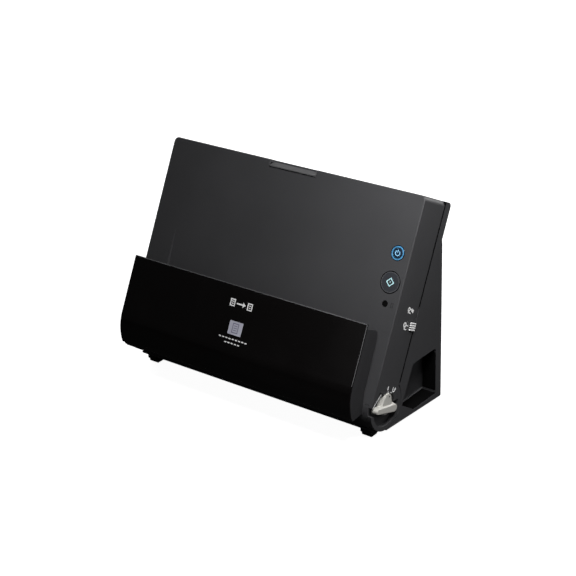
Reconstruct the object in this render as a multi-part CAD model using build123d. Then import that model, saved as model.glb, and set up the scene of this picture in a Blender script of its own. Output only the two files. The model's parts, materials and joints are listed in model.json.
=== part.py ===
from build123d import *
import os
from math import cos, pi, radians, sin

# Sheet fed document scanner, millimetres. +X right, +Y rear, +Z up, origin on the
# ground under the middle of the body. Most pieces are drawn in the slab frame:
# local y runs through the leaning slab from front to rear, local z runs up along it,
# and its origin is the hinge axis of the front unit. SLAB places them.

# ---- driving dimensions ----
WIDTH = 300.0
HALF = WIDTH / 2
LEAN = 26.5
HINGE_Y = -31.5
HINGE_Z = 33.7
FACE = -24.5            # front face of the slab
SEAM = 13.0             # joint line between front unit and base
SEAM_GAP = 0.8
BACK = 24.5             # rear face of the slab
TOP = 196.0
DRUM = 24.5             # round lower end of the front unit
WALL = 2.5
REAR_Y = 62.8           # upright rear wall
REAR_TOP = 162.5
BOTTOM_REAR = 2.2       # height of the bottom edge at the rear wall
BOTTOM_FRONT = 7.8      # and under the hinge axis
COVER_IN = 147.3        # inner face of the side covers
CHASSIS_IN = 139.0
CHASSIS_T = 2.0
PAPER_FRONT = 12.05     # idler side of the paper gap
PAPER_REAR = 12.35      # driven side of the paper gap

SLAB = Pos(0, HINGE_Y, HINGE_Z) * Rot(-LEAN, 0, 0)


def world(y, z):
    """A slab-frame point (y, z) as a ground-frame (y, z)."""
    c, s = cos(radians(LEAN)), sin(radians(LEAN))
    return (HINGE_Y + y * c + z * s, HINGE_Z - y * s + z * c)


def bottom_at(y):
    """Height of the sloping bottom edge at ground-frame y."""
    slope = (BOTTOM_FRONT - BOTTOM_REAR) / (REAR_Y - HINGE_Y)
    return BOTTOM_REAR + (REAR_Y - y) * slope


def block(x0, x1, y0, y1, z0, z1):
    centre = Pos((x0 + x1) / 2, (y0 + y1) / 2, (z0 + z1) / 2)
    return centre * Box(x1 - x0, y1 - y0, z1 - z0)


def outline(points):
    return make_face(Polyline(*points, close=True))


def prism(flat, x0, x1):
    """Extrude a flat (y, z) outline along X."""
    return Pos(x0, 0, 0) * extrude(Plane.YZ * flat, x1 - x0)


def plate(points, x0, x1):
    return prism(outline(points), x0, x1)


def rod(y, z, radius, x0, x1):
    return Pos((x0 + x1) / 2, y, z) * Rot(0, 90, 0) * Cylinder(radius, x1 - x0)


def stud(x, z, radius, y0, y1):
    """A cylinder along Y."""
    return Pos(x, (y0 + y1) / 2, z) * Rot(90, 0, 0) * Cylinder(radius, y1 - y0)


def tube(y, z, outer, inner, x0, x1):
    return rod(y, z, outer, x0, x1) - rod(y, z, inner, x0 - 1, x1 + 1)


def ring_arc(inner, outer, start, stop, x0, x1, centre=(0, 0)):
    """Part of a ring round centre, between two angles from +y towards +z."""
    far = outer * 3
    mid = radians((start + stop) / 2)
    rays = [(far * cos(radians(a)), far * sin(radians(a))) for a in (start, stop)]
    wedge = outline([(0, 0), rays[0], (far * cos(mid), far * sin(mid)), rays[1]])
    flat = Pos(*centre) * ((Circle(outer) - Circle(inner)) & wedge)
    return prism(flat, x0, x1)


def both_sides(right):
    """The same piece on the right and mirrored to the left."""
    return right + mirror(right, about=Plane.YZ)


def union(shapes):
    whole = shapes[0]
    for shape in shapes[1:]:
        whole += shape
    return whole


def belt(first, second, gap, thick, x0, x1):
    """A flat loop round two pulleys given as (y, z, radius)."""
    def loop(extra):
        rims = [Pos(y, z) * Circle(r + extra) for y, z, r in (first, second)]
        return make_hull(rims[0].edges() + rims[1].edges())
    return prism(loop(gap + thick) - loop(gap), x0, x1)


parts = {}

# ================= base =================

# Side covers: the whole side behind the seam, with a hollow window low down
WINDOW = [(13.6, 57.9), (53.6, 57.9), (53.6, 8.5), (13.9, 8.9), (-5.0, 22.0)]
WINDOW_DEPTH = 15.0
LINER = 1.5


def side_outline():
    points = [
        world(SEAM + SEAM_GAP, TOP), world(BACK, TOP), world(BACK, 161.0),
        (REAR_Y, REAR_TOP), (REAR_Y, BOTTOM_REAR), (HINGE_Y, BOTTOM_FRONT),
        (HINGE_Y, HINGE_Z), world(SEAM + SEAM_GAP, 0),
    ]
    flat = outline(points)
    flat = fillet(flat.vertices().sort_by_distance(Vector(*world(BACK, TOP), 0))[0], 4.0)
    return flat - Pos(HINGE_Y, HINGE_Z) * Circle(DRUM + SEAM_GAP)


def window_outline():
    flat = outline(WINDOW)
    return fillet(flat.vertices().sort_by_distance(Vector(53.6, 57.9, 0))[0], 4.0)


def side_cover():
    window = window_outline()
    skin = prism(side_outline() - window, COVER_IN, HALF)
    rim = offset(window, LINER, kind=Kind.INTERSECTION)
    floor_x = HALF - WINDOW_DEPTH
    liner = prism(rim, floor_x - LINER, COVER_IN) - prism(window, floor_x, HALF)
    return skin + liner


LEVER_Z = 76.7
LEVER_TRAVEL = 14.5
side = side_cover()
parts["left_side_cover"] = mirror(side, about=Plane.YZ)
LEVER_STEM = (13.9, 14.8)     # the stem's front and rear face
SLOT_PAST_STEM = 3.6
lever_slot = block(COVER_IN - 1, HALF + 1, SEAM, LEVER_STEM[1] + 0.2,
                   LEVER_Z - SLOT_PAST_STEM, LEVER_Z + LEVER_TRAVEL + SLOT_PAST_STEM)
parts["right_side_cover"] = side - SLAB * lever_slot

# Rear wall with the straight path mouth, sockets and vents
ARCH_HALF = 115.0
ARCH_TOP = 50.0
USB_X = 62.0
JACK_X = 88.0
PORT_Z = 76.0
REAR_IN = REAR_Y - 2.0
rear = block(-COVER_IN + 0.1, COVER_IN - 0.1, REAR_IN, REAR_Y, BOTTOM_REAR + 0.2, REAR_TOP)
rear -= block(-ARCH_HALF, ARCH_HALF, REAR_IN - 1, REAR_Y + 1, 8.5, ARCH_TOP)
rear -= block(USB_X - 6.3, USB_X + 6.3, REAR_IN - 1, REAR_Y + 1, PORT_Z - 5.8, PORT_Z + 5.8)
rear -= stud(JACK_X, PORT_Z, 4.8, REAR_IN - 1, REAR_Y + 1)
rear -= block(110, 117, REAR_IN - 1, REAR_Y + 1, PORT_Z - 1.5, PORT_Z + 1.5)
VENTS = 14
for k in range(VENTS):
    x = -104 + k * 7.0
    rear -= block(x - 1.2, x + 1.2, REAR_IN - 1, REAR_Y + 1, 64, 92)
parts["rear_cover"] = rear

SLAB_IN = 22.8
RAIL_IN = 128.6
slab_rear = block(-COVER_IN + 0.1, COVER_IN - 0.1, SLAB_IN, BACK, 125, TOP)
top_edge = slab_rear.edges().filter_by(Axis.X).sort_by(Axis.Z)[-2:].sort_by(Axis.Y)[-1]
slab_rear = fillet(top_edge, 1.2)
slab_rear += both_sides(block(RAIL_IN, COVER_IN - 0.1, 14.0, SLAB_IN, 114, TOP))
parts["rear_slab_cover"] = SLAB * slab_rear

# Bottom pan, sloping up to the front, cut round the drum
PAN_REAR = REAR_IN - 0.2
PAN_FRONT = -42.0
PAN_T = 2.0


def pan_strip(rear, half):
    """A sloping sheet along the bottom edge, from its front to a rear depth."""
    low_rear, low_front = bottom_at(rear), bottom_at(PAN_FRONT)
    return plate([(rear, low_rear), (PAN_FRONT, low_front), (PAN_FRONT, low_front + PAN_T),
                  (rear, low_rear + PAN_T)], -half, half)


drum_room = rod(HINGE_Y, HINGE_Z, DRUM + SEAM_GAP, -HALF, HALF)
parts["base_pan"] = pan_strip(PAN_REAR, 132.5) + pan_strip(-9, 145.5) - drum_room

FOOT_IN, FOOT_OUT = 127.5, 138.5
foot = plate([(-41.0, bottom_at(-41.0)), (-41.0, 4.2), (-39.6, 3.6), (-38.6, 0), (-29.6, 0),
              (-28.4, 3.6), (-27.0, 4.2), (-27.0, bottom_at(-27.0))], FOOT_IN, FOOT_OUT)
parts["front_feet"] = both_sides(foot)
pad = plate([(44, bottom_at(44)), (44.6, 0), (57.4, 0), (58, bottom_at(58))], 112, 130)
parts["rear_feet"] = both_sides(pad)

parts["bay_roof"] = block(-132.0, 132.0, 12.0, REAR_IN - 0.2, 52.0, 53.6)

# Chassis plates with the ears that carry the hinge
UPPER_Z = 72.0
LOWER_Z = 30.0
FEED_Z = 97.0
FEED_R = 11.0
DRIVE_R = 7.0
SHAFT_R = 3.0
RUN = 0.06
BUSH_R = 6.0
UPPER = (PAPER_REAR + DRIVE_R, UPPER_Z)
LOWER = (PAPER_REAR + DRIVE_R, LOWER_Z)
FEED = (PAPER_REAR + FEED_R, FEED_Z)


def chassis_plate(x0, x1):
    body = plate([(14.5, -6.5), (27.0, -6.5), (27.0, 50.0), (40.0, 50.0), (40.0, 110.0),
                  (14.5, 110.0)], x0, x1)
    ear = rod(0, 0, 11.0, x0, x1) + block(x0, x1, 0, 15.5, -6.5, 10.0)
    for y, z in (UPPER, LOWER, FEED):
        ear -= rod(y, z, SHAFT_R + RUN, x0 - 1, x1 + 1)
        body -= rod(y, z, SHAFT_R + RUN, x0 - 1, x1 + 1)
    return SLAB * (body + ear - rod(0, 0, BUSH_R, x0 - 1, x1 + 1))


parts["right_chassis_plate"] = chassis_plate(CHASSIS_IN, CHASSIS_IN + CHASSIS_T)
parts["left_chassis_plate"] = chassis_plate(-CHASSIS_IN - CHASSIS_T, -CHASSIS_IN)

BUSH_END = 145.0
bush = tube(0, 0, BUSH_R, SHAFT_R + RUN, CHASSIS_IN, BUSH_END)
flange = tube(0, 0, BUSH_R + 2, SHAFT_R + RUN, CHASSIS_IN - 1.5, CHASSIS_IN)
parts["hinge_bushes"] = SLAB * both_sides(bush + flange)

# Paper path plate of the base
ROLLER_XS = [-90.0, -30.0, 30.0, 90.0]
ROLLER_W = 18.0
SENSOR_Z = 50.0
GLASS_HALF = 112.3
GLASS_H = 5.3                 # half the glass's height
path = block(-137.5, 137.5, 14.0, 16.0, 24.0, 112.0)
for z in (UPPER_Z, LOWER_Z):
    for x in ROLLER_XS:
        path -= block(x - ROLLER_W / 2 - 1, x + ROLLER_W / 2 + 1, 13, 17, z - 7, z + 7)
path -= block(-16, 16, 13, 17, FEED_Z - 11, FEED_Z + 11)
path -= block(-GLASS_HALF - 0.2, GLASS_HALF + 0.2, 13, 17, SENSOR_Z - GLASS_H - 0.2, SENSOR_Z + GLASS_H + 0.2)
path -= block(-140, -126.5, 13, 17, LOWER_Z - 10, 113)
parts["path_plate"] = SLAB * path


def sensor_glass(y0, y1):
    return SLAB * block(-GLASS_HALF, GLASS_HALF, y0, y1, SENSOR_Z - GLASS_H, SENSOR_Z + GLASS_H)


def sensor_bar(y0, y1):
    return SLAB * block(-116, 116, y0, y1, SENSOR_Z - 7.5, SENSOR_Z + 7.5)


parts["rear_sensor_glass"] = sensor_glass(14.0, 16.0)
parts["rear_sensor"] = sensor_bar(16.2, 28.0)

# Drive train on the left
MOTOR = (44.0, 76.0)
FEED_W = world(*FEED)
UPPER_W = world(*UPPER)
LOWER_W = world(*LOWER)
MOTOR_PULLEY_R = 6.0
FEED_PULLEY_R = 10.0
LINK_PULLEY_R = 6.5
LANE_A = (-138.4, -135.4)
LANE_B = (-134.9, -132.5)
LANE_C = (-129.6, -127.2)
parts["motor"] = rod(*MOTOR, 15.0, -129.8, -104.0) + rod(*MOTOR, 4.0, -104.0, -102.0)
bracket = block(-131.8, -129.8, 30.0, 59.0, 61.5, 90.0) - rod(*MOTOR, 3.6, -133, -128)
for y, z in ((56.0, 65.0), (56.0, 87.0), (33.0, 64.5)):
    bracket += rod(y, z, 2.4, -CHASSIS_IN, -131.8)
parts["motor_bracket"] = bracket - SLAB * block(-142, -138.9, 14, 40.5, 49.5, 111)
rotor = rod(*MOTOR, 2.5, LANE_A[0], -130.0)
FLANGE_T = 0.25
for x in (LANE_A[0], LANE_A[1] - FLANGE_T):
    rotor += rod(*MOTOR, MOTOR_PULLEY_R + 1.2, x, x + FLANGE_T)
rotor += rod(*MOTOR, MOTOR_PULLEY_R, *LANE_A)
parts["motor_pulley"] = rotor


def pulley(centre, radius, lane):
    y, z = centre
    wheel = rod(y, z, radius, *lane)
    return wheel - rod(y, z, SHAFT_R, lane[0] - 1, lane[1] + 1)


parts["feed_pulleys"] = pulley(FEED_W, FEED_PULLEY_R, LANE_A) + pulley(FEED_W, LINK_PULLEY_R, LANE_B)
parts["upper_pulleys"] = pulley(UPPER_W, LINK_PULLEY_R, LANE_B) + pulley(UPPER_W, LINK_PULLEY_R, LANE_C)
parts["lower_pulley"] = pulley(LOWER_W, LINK_PULLEY_R, LANE_C)
BELT_GAP, BELT_T = 0.3, 1.1
drive_belts = belt((*MOTOR, MOTOR_PULLEY_R), (*FEED_W, FEED_PULLEY_R), BELT_GAP, BELT_T,
                   LANE_A[0] + 0.3, LANE_A[1] - 0.3)
drive_belts += belt((*FEED_W, LINK_PULLEY_R), (*UPPER_W, LINK_PULLEY_R), BELT_GAP, BELT_T, *LANE_B)
drive_belts += belt((*UPPER_W, LINK_PULLEY_R), (*LOWER_W, LINK_PULLEY_R), BELT_GAP, BELT_T, *LANE_C)
parts["drive_belts"] = drive_belts

SHAFT_END = 141.3


def shaft(centre):
    return rod(*world(*centre), SHAFT_R, -SHAFT_END, SHAFT_END)


def tyres(centre, radius, xs, width):
    y, z = world(*centre)
    return union([tube(y, z, radius, SHAFT_R, x - width / 2, x + width / 2) for x in xs])


parts["feed_shaft"] = shaft(FEED)
parts["feed_roller"] = tyres(FEED, FEED_R, [0.0], 28.0)
parts["upper_shaft"] = shaft(UPPER)
parts["upper_rollers"] = tyres(UPPER, DRIVE_R, ROLLER_XS, ROLLER_W)
parts["lower_shaft"] = shaft(LOWER)
parts["lower_rollers"] = tyres(LOWER, DRIVE_R, ROLLER_XS, ROLLER_W)

# Electronics
main_board = block(-50, 122, 50.0, 51.6, 60.0, 132.0)
main_board += block(0, 24, 47.0, 50.0, 96, 120)
main_board += block(-30, -12, 46.0, 50.0, 70, 88)
parts["main_board"] = main_board
usb = block(USB_X - 6, USB_X + 6, 51.8, REAR_Y - 0.3, PORT_Z - 5.5, PORT_Z + 5.5)
usb -= block(USB_X - 4.4, USB_X + 4.4, 53.0, REAR_Y, PORT_Z - 4.1, PORT_Z + 4.1)
parts["usb_port"] = usb
jack = stud(JACK_X, PORT_Z, 4.6, 51.8, REAR_Y - 0.3) - stud(JACK_X, PORT_Z, 2.9, REAR_Y - 5, REAR_Y)
jack += stud(JACK_X, PORT_Z, 1.0, 52.0, REAR_Y - 1.2)
parts["power_jack"] = jack


def screw_head(x, z):
    """A slotted head on the rear cover."""
    slot = block(x - 2, x + 2, REAR_Y + 0.9, REAR_Y + 2, z - 0.4, z + 0.4)
    return stud(x, z, 3.0, REAR_Y, REAR_Y + 1.6) - slot


parts["cover_screws"] = union([screw_head(x, z) for x in (-138, 138) for z in (20, 150)])

# Feed selection lever on the right side: a ribbed thumb pad over the seam, its stem and shoe
RIB_COUNT = 4
RIB_STEP = 2.1
RIB_T = 1.1
PAD_Y = (6.0, 13.6)
PAD_HALF = 4.4
PAD_X = HALF + 0.25
PAD_TOP = HALF + 0.85
thumb = block(PAD_X, PAD_TOP, *PAD_Y, LEVER_Z - PAD_HALF, LEVER_Z + PAD_HALF)
RIB_H = 0.85
for k in range(RIB_COUNT):
    z = LEVER_Z + (k - (RIB_COUNT - 1) / 2) * RIB_STEP
    thumb += block(PAD_TOP, PAD_TOP + RIB_H, *PAD_Y, z - RIB_T / 2, z + RIB_T / 2)
STEM_HALF = 3.0
SHOE_X = (143.6, 145.6)
thumb += block(SHOE_X[1] - 1.0, PAD_TOP, *LEVER_STEM, LEVER_Z - STEM_HALF, LEVER_Z + STEM_HALF)
thumb += block(PAD_X, PAD_TOP, PAD_Y[1], LEVER_STEM[1], LEVER_Z - STEM_HALF, LEVER_Z + STEM_HALF)
thumb += block(*SHOE_X, LEVER_STEM[0], 21.0, LEVER_Z - STEM_HALF - 1, LEVER_Z + STEM_HALF + 1)
parts["feed_lever"] = SLAB * thumb

# ================= document tray =================
TRAY_HALF = 128.0
TRAY_LOW = 114.0
TRAY_TOP = 195.6
RACK_Z = 150.0
PINION_R = 8.0
RACK_LIFT = 10.8
TEETH = 16
RACK_PITCH = 2 * pi * PINION_R / TEETH
RACK_Y = (17.1, 18.7)
RACK_HALF = 1.6
TOOTH = 1.7
GUIDE_IN = 72.0
GUIDE_OUT = 110.0
GUIDE_Z = (122, 186)
TRAY_FRONT, TRAY_REAR = 15.6, 22.4
CHANNEL = (16.9, 18.9)        # the racks' channel through the tray
tray = block(-TRAY_HALF, TRAY_HALF, TRAY_FRONT, TRAY_REAR, TRAY_LOW, TRAY_TOP)
tray -= block(-66, 66, 19.8, 23, TRAY_LOW + 4, TRAY_TOP + 1)
tray -= block(-TRAY_HALF + 6, TRAY_HALF - 6, *CHANNEL, RACK_Z - 12.8, RACK_Z + 12.8)
for sign in (-1, 1):
    x0, x1 = sorted((sign * 6.0, sign * 112.0))
    mid = RACK_Z + sign * RACK_LIFT
    tray -= block(x0, x1, 15, 17.2, mid - RACK_HALF, mid + RACK_HALF)
tray += stud(0, RACK_Z, 1.5, *CHANNEL)
parts["feed_tray"] = SLAB * tray
extension = block(-65.5, 65.5, 20.1, 22.1, TRAY_LOW + 5, TRAY_TOP)
extension -= block(-20, 20, 21.0, 23, TRAY_TOP - 9, TRAY_TOP + 1)
parts["tray_extension"] = SLAB * extension


def side_guide(sign):
    """A document guide: fin and pad in front of the tray, rack behind its front wall."""
    mid = RACK_Z + sign * RACK_LIFT
    pad = block(GUIDE_IN, GUIDE_OUT, 14.2, 15.4, *GUIDE_Z)
    fin = block(GUIDE_OUT - 1.8, GUIDE_OUT, 6.5, 14.2, *GUIDE_Z)
    neck = block(GUIDE_OUT - 12, GUIDE_OUT - 6, 15.4, RACK_Y[0], mid - 1.2, mid + 1.2)
    rack = block(-40, GUIDE_OUT - 6, *RACK_Y, mid - RACK_HALF, mid + RACK_HALF)
    z0, z1 = sorted((mid - sign * RACK_HALF, mid - sign * (RACK_HALF + TOOTH)))
    for k in range(-12, 33):
        x = k * RACK_PITCH
        rack += block(x - 0.6, x + 0.6, *RACK_Y, z0, z1)
    whole = pad + fin + neck + rack
    return whole if sign > 0 else mirror(whole, about=Plane.YZ)


parts["right_guide"] = SLAB * side_guide(1)
parts["left_guide"] = SLAB * side_guide(-1)
pinion = Circle(7.1)
for k in range(TEETH):
    pinion += Rot(0, 0, (k + 0.5) * 360 / TEETH) * Pos(7.8, 0) * Rectangle(1.8, 1.1)
pinion -= Circle(1.6)
parts["guide_pinion"] = SLAB * (Pos(0, RACK_Y[1], RACK_Z) * Rot(90, 0, 0) * extrude(pinion, RACK_Y[1] - RACK_Y[0]))

# ================= front unit =================
CAVITY = 147.2
SKIN_LOW = 12.5
SLOPE_TOP = 108.0
SLOPE_IN = 8.0
SLOPE_HALF = 121.0
MOUTH_Y = 3.5
MOUTH_HALF = 131.0            # the tray's mouth, and the exit slot
DISC_IN = 141.3
NOSE_END = 146.0
WELL_X = 145.2
NOTCH_HALF = 28.3
NOTCH_Z = 188.5
POWER = (136.1, 139.8)
START = (136.1, 112.4)
LENS = (136.1, 92.3)
LENS_R = 3.1
FIT = 0.05

shell = block(-HALF, HALF, FACE, SEAM, SKIN_LOW, TOP)
corners = shell.edges().filter_by(Axis.Y).sort_by(Axis.Z)[-2:]
shell = fillet(corners, 5.0)
front_edges = shell.faces().sort_by(Axis.Y)[0].edges().sort_by(Axis.Z)[1:]
shell = chamfer(front_edges, 0.7)
shell -= block(-CAVITY, CAVITY, FACE + WALL, SEAM + 1, 0, TOP - WALL)
shell -= block(-SLOPE_HALF, SLOPE_HALF, FACE - 1, FACE + WALL + 0.1, SKIN_LOW - 1, SLOPE_TOP)
shell += plate([(FACE, SLOPE_TOP), (FACE + SLOPE_IN, SKIN_LOW), (FACE + SLOPE_IN + WALL, SKIN_LOW),
                (FACE + WALL, SLOPE_TOP)], -SLOPE_HALF, SLOPE_HALF)
cheek_step = plate([(FACE + WALL, SLOPE_TOP), (FACE + WALL, SKIN_LOW), (FACE + SLOPE_IN + WALL, SKIN_LOW)],
                   SLOPE_HALF, SLOPE_HALF + 2)
shell += both_sides(cheek_step)
shell -= block(-MOUTH_HALF, MOUTH_HALF, MOUTH_Y, SEAM + 1, TOP - WALL - 1, TOP + 1)
shell -= block(-NOTCH_HALF, NOTCH_HALF, FACE - 1, -13.0, NOTCH_Z, TOP + 1)
cheek = prism(Rectangle(SEAM - FACE, SKIN_LOW + 10, align=(Align.MIN, Align.MIN)), NOSE_END + 0.2, HALF)
cheek = Pos(0, FACE, 0) * cheek
disc = rod(0, 0, DRUM, NOSE_END + 0.2, HALF) + rod(0, 0, DRUM - 2.3, DISC_IN, NOSE_END + 0.2)
disc -= rod(0, 0, BUSH_R + RUN, DISC_IN - 1, BUSH_END + 0.2)
shell += both_sides(cheek + disc)
# front skin carried on down to the nose beside the exit slot
shell += both_sides(block(MOUTH_HALF, NOSE_END + 0.3, FACE, FACE + WALL, -1.0, SKIN_LOW + 0.5))
# knob well in the right cheek
well_flat = Circle(20.2) - outline([(0, 0), (24, 10.6), (24, 30), (-24, 30), (-20.4, 15.4)])
well_flat += Circle(13.4)
well_flat += outline([(-4, 4), (-12.0, 11.5), (-15.6, 12.4), (-23.8, -2.3), (-26, -6.2), (-24, -12), (-8, -10)])
shell -= prism(well_flat, WELL_X, HALF + 1)
# seam groove that runs on over the disc
shell -= block(HALF - 0.6, HALF + 1, SEAM, SEAM + 0.6, 6.0, 21.5)
shell -= stud(*POWER, 7.3, FACE - 1, FACE + WALL + 1)
shell -= stud(*START, 10.4, FACE - 1, FACE + WALL + 1)
shell -= stud(*LENS, LENS_R + FIT, FACE - 1, FACE + WALL + 1)
PIVOT = (-17.5, 178.0)
pin_boss = block(17.0, 20.0, FACE + WALL, PIVOT[0] + 2.5, PIVOT[1] - 3, PIVOT[1] + 3)
shell += both_sides(pin_boss) - rod(*PIVOT, 1.2, -30, 30)
parts["front_cover"] = SLAB * shell

# nose: round outer guide below the exit slot
parts["lower_cover"] = SLAB * ring_arc(DRUM - 2.1, DRUM, 183, 300, -NOSE_END, NOSE_END)
parts["turn_guide"] = SLAB * ring_arc(17.5, 19.3, 178, 300, -120, 120)

# inner guide facing the paper
guide = plate([(8.5, 22), (10.5, 22), (10.5, 108), (MOUTH_Y, 120), (MOUTH_Y, 193.2), (MOUTH_Y - 2, 193.2),
               (MOUTH_Y - 2, 119), (8.5, 107)], -134, 134)
for z in (UPPER_Z, LOWER_Z):
    for x in ROLLER_XS:
        guide -= block(x - ROLLER_W / 2 - 1, x + ROLLER_W / 2 + 1, 7, 12, z - 5.8, z + 5.8)
guide -= block(-14, 14, 7, 12, FEED_Z - 8.5, FEED_Z + 8.5)
guide -= block(-GLASS_HALF - 0.2, GLASS_HALF + 0.2, 7, 12, SENSOR_Z - GLASS_H - 0.2, SENSOR_Z + GLASS_H + 0.2)
parts["front_inner_guide"] = SLAB * guide
parts["front_sensor_glass"] = sensor_glass(8.5, 10.5)
parts["front_sensor"] = sensor_bar(-5.0, 8.3)

# idler rollers
PINCH_R = 5.0
PINCH_SHAFT = 1.3
RETARD_R = 9.0
RETARD_SHAFT = 2.0
PINCH_Y = PAPER_FRONT - PINCH_R
RETARD_Y = PAPER_FRONT - RETARD_R


def idlers(y, z, radius, axle, xs, width, reach):
    whole = rod(y, z, axle, -reach, reach)
    for x in xs:
        whole += rod(y, z, radius, x - width / 2, x + width / 2)
    return SLAB * whole


parts["upper_pinch_rollers"] = idlers(PINCH_Y, UPPER_Z, PINCH_R, PINCH_SHAFT, ROLLER_XS, ROLLER_W - 1, 110)
parts["lower_pinch_rollers"] = idlers(PINCH_Y, LOWER_Z, PINCH_R, PINCH_SHAFT, ROLLER_XS, ROLLER_W - 1, 110)
parts["retard_roller"] = idlers(RETARD_Y, FEED_Z, RETARD_R, RETARD_SHAFT, [0.0], 24.0, 21)


def axle_bracket(x, half, y0, axis_y, axis_z, reach, axle):
    """A block behind the inner guide with a bore for an idler's axle."""
    body = block(x - half, x + half, y0, 8.5, axis_z - reach, axis_z + reach)
    return body - rod(axis_y, axis_z, axle + RUN, x - half - 2, x + half + 2)


brackets = [axle_bracket(x, 3, 3.5, PINCH_Y, z, 4, PINCH_SHAFT)
            for z in (UPPER_Z, LOWER_Z) for x in (-106, -60, 60, 106)]
brackets += [axle_bracket(x, 2.5, -1.5, RETARD_Y, FEED_Z, 6, RETARD_SHAFT) for x in (-19, 19)]
parts["roller_brackets"] = SLAB * union(brackets)

# buttons
parts["power_ring"] = SLAB * (stud(*POWER, 7.0, FACE - 0.25, FACE + 3) - stud(*POWER, 5.0, FACE - 1, FACE + 4))
parts["power_button"] = SLAB * stud(*POWER, 4.7, FACE - 0.1, -18.0)
parts["start_button"] = SLAB * stud(*START, 9.85, FACE - 0.3, -18.0)
parts["status_lens"] = SLAB * stud(*LENS, LENS_R, FACE + 0.6, FACE + 3.2)
board = block(125.0, 146.0, -14.0, -12.4, 84.0, 152.0)
for centre in (POWER, START):
    board += block(centre[0] - 3, centre[0] + 3, -16.4, -14.0, centre[1] - 3, centre[1] + 3)
parts["panel_board"] = SLAB * board

# open lever and latch
lever = plate([(-24.3, 189.4), (-22.0, 189.4), (-15.2, 193.0), (-15.2, 194.2), (-17.4, 194.2),
               (-24.3, 190.7)], -27.7, 27.7)
lever += plate([(-18.5, 178), (-16.5, 178), (-16.5, 193.2), (-18.5, 192.0)], -14, 14)
lever += rod(*PIVOT, 2.3, -16.5, 16.5)
lever -= rod(*PIVOT, 1.2 + RUN, -20, 20)
parts["open_lever"] = SLAB * lever
parts["lever_pin"] = SLAB * rod(*PIVOT, 1.2, -20.0, 20.0)
latch = block(-142.6, 142.6, -9.0, -6.0, 178, 184)
latch += both_sides(block(139.0, 142.6, -6.0, 12.4, 178, 184))
parts["latch_bar"] = SLAB * latch

# eject pocket
PANEL_HALF = 140.5
PANEL_Y = -51.9
PANEL_TOP = 71.8
PANEL_T = 2.0
BEND = (-6.9, 13.9)
BEND_R = BEND[0] - PANEL_Y
panel = block(-PANEL_HALF, PANEL_HALF, PANEL_Y, PANEL_Y + PANEL_T, BEND[1], PANEL_TOP)
panel += ring_arc(BEND_R - PANEL_T, BEND_R, 180, 223, -PANEL_HALF, PANEL_HALF, BEND)
parts["eject_panel"] = SLAB * panel
inside = outline([(PANEL_Y + PANEL_T, 90), (PANEL_Y + PANEL_T, BEND[1]), (0, BEND[1]), (0, 90)])
inside += (Pos(*BEND) * Circle(BEND_R - PANEL_T)) & outline([(-60, BEND[1]), (0, BEND[1]), (0, -40), (-60, -40)])
cheek_wall = outline([(-60, 67.3), (-29.5, 67.3), (-28.0, 10), (-25.2, 0), (-20.5, -10.2),
                      (-36.0, -19.0), (-60, -19)])
cheek_wall = fillet(cheek_wall.vertices().sort_by_distance(Vector(-29.5, 67.3, 0))[0], 6.0)
cheek_wall = (cheek_wall & inside) - Circle(DRUM + 0.1)
pocket = both_sides(prism(cheek_wall, 138.2, 140.2))
floor_plate = ring_arc(DRUM + 0.1, 41.0, 205, 209.5, -138.2, 138.2)
pocket += floor_plate & prism(inside, -138.2, 138.2)
parts["eject_tray"] = SLAB * pocket

# selector: a round base with a pointer, under a raised finger bar
KNOB_BASE = 145.5
KNOB_TOP = 152.8
HUB_R = 9.2
POINTER = 106.5               # the pointer's angle from +y towards +z
POINTER_REACH = 12.8
BAR_ENDS = [((-14.8, -5.6), 3.2), ((12.6, -1.0), 4.4)]     # end centre and end radius
hub = rod(0, 0, HUB_R, KNOB_BASE, 150.2)
tip = (POINTER_REACH - 3.4) * cos(radians(POINTER)), (POINTER_REACH - 3.4) * sin(radians(POINTER))
pointer = prism(make_hull(Circle(8.6).edges() + (Pos(*tip) * Circle(3.4)).edges()), KNOB_BASE, 151.0)
ends = [(Pos(*centre) * Circle(radius)).edges() for centre, radius in BAR_ENDS]
bar = prism(make_hull(ends[0] + ends[1]), 146.6, KNOB_TOP)
bar = fillet(bar.faces().sort_by(Axis.X)[-1].edges(), 1.4)
knob = hub + pointer + bar - rod(0, 0, SHAFT_R, 140, 149.0)
parts["selector_knob"] = SLAB * knob
parts["selector_shaft"] = SLAB * rod(0, 0, SHAFT_R, -BUSH_END, 149.0)
flap = ring_arc(20.0, 21.6, 323, 358, -127, 127)
for x in (-127.0, 124.0):
    flap += ring_arc(2.5, 20.5, 330, 350, x, x + 3)
    flap += tube(0, 0, 6.0, SHAFT_R, x, x + 3)
flap -= rod(0, 0, SHAFT_R, -140, 140)
parts["selector_flap"] = SLAB * flap

os.makedirs("parts", exist_ok=True)
for name, shape in parts.items():
    export_step(shape, f"parts/{name}.step")
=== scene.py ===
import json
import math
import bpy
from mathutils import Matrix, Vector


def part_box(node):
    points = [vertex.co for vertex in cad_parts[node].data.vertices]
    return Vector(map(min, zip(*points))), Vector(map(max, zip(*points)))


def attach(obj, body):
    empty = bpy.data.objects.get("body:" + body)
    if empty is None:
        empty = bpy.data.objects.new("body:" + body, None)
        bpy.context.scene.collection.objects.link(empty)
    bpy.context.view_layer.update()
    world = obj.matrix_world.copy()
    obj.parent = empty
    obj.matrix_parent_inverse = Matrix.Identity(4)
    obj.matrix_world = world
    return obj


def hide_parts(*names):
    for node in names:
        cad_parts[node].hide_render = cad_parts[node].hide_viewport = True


bl_info = {
    "name": "Document Scanner Looks",
    "version": (1, 0, 0),
    "blender": (4, 5, 0),
    "location": "View3D > Sidebar > Scanner",
    "description": "Finishes and small pieces of a sheet fed document scanner",
    "category": "Object",
}

import bmesh
import bpy
from bpy.props import FloatProperty, FloatVectorProperty, PointerProperty
from mathutils import Matrix, Vector

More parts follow.
